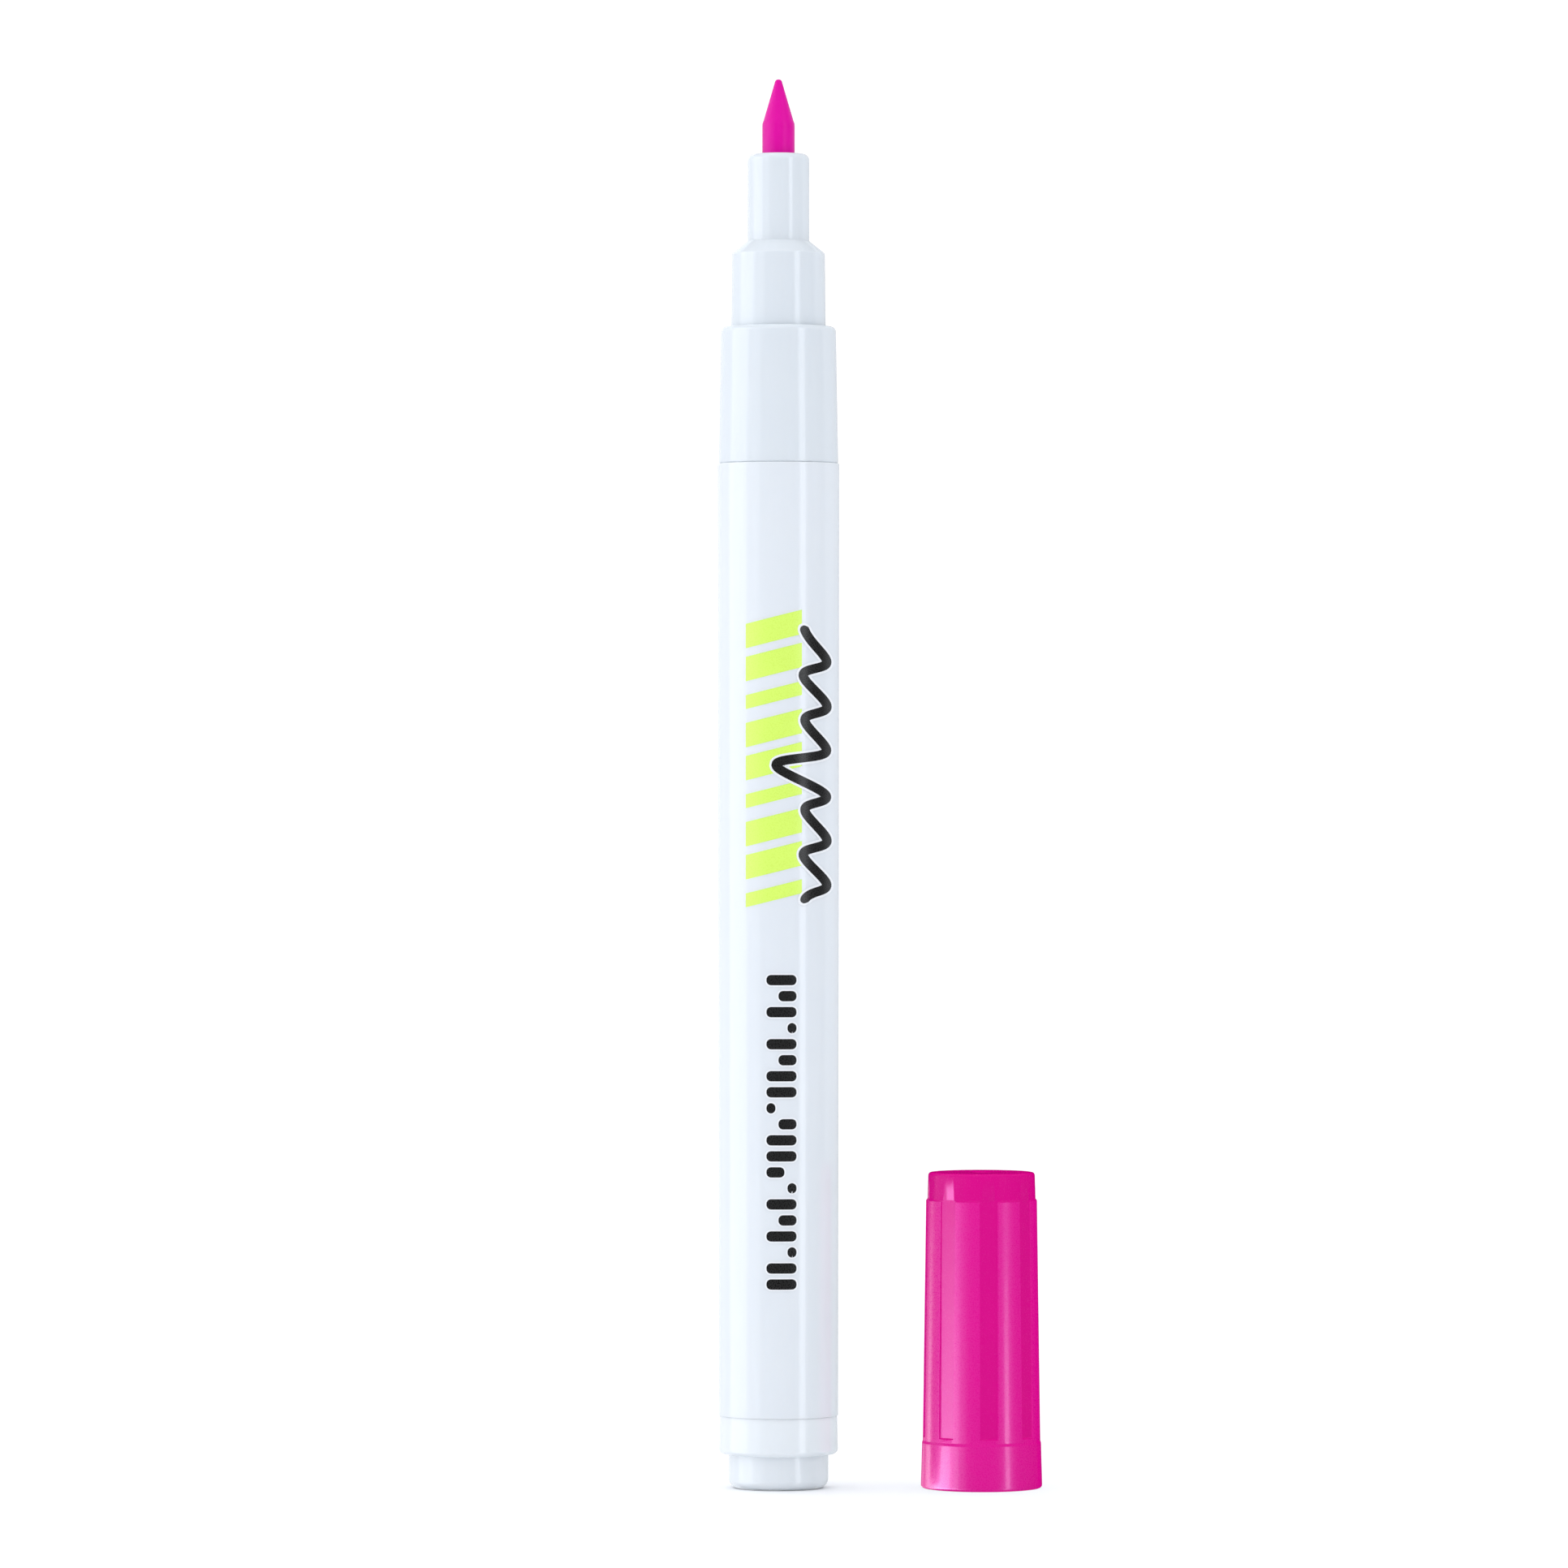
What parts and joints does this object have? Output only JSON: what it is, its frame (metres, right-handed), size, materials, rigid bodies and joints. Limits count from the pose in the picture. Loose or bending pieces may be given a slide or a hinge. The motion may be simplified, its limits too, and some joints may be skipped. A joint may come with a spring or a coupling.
{
  "type": "paint marker",
  "caption": "Felt-tip paint marker standing on its tail with its fluted cap off beside it: tank barrel, press-to-feed valve, mixing ball and fibre nib.",
  "frame": {"origin": "centre of the pen's flat tail face, on the surface that it stands on", "axes": "+Z along the pen's axis from the tail to the nib, +X from the pen towards its cap, which stands mouth down beside it"},
  "size_m": [0.03, 0.0112, 0.1301],
  "materials": {
    "white_shell": "cool white moulded polypropylene, polished",
    "pink_shell": "magenta moulded polypropylene, satin gloss",
    "dyed_fibre": "bonded polyester fibre rod, ground to a point and soaked with magenta paint",
    "natural_plastic": "unpigmented moulded plastic",
    "seal_rubber": "moulded sealing ring",
    "spring_steel": "bright stainless steel"
  },
  "bodies": {
    "pen": {"barrel": "white_shell", "tail_plug": "white_shell", "nose_section": "white_shell", "valve_body": "natural_plastic", "valve_seat": "seal_rubber", "valve_retainer": "natural_plastic", "valve_spring": "spring_steel"},
    "nib_and_stem": {"nib": "dyed_fibre", "valve_stem": "natural_plastic"},
    "ball": {"mixing_ball": "spring_steel"},
    "cap": {"cap_shell": "pink_shell", "cap_liner": "natural_plastic"}
  },
  "joints": [
    {"name": "nib_press", "type": "slide", "parent": "pen", "child": "nib_and_stem", "axis": [0, 0, -1], "range_m": [0, 0.002], "stiffness_N_per_m": 600, "springref_m": -0.001, "deforming": ["valve_spring"]},
    {"name": "ball_travel", "type": "slide", "parent": "pen", "child": "ball", "axis": [0, 0, 1], "range_m": [0, 0.079]},
    {"name": "cap_lift", "type": "slide", "parent": "pen", "child": "cap", "axis": [0, 0, 1], "range_m": [0, 0.107]}
  ]
}
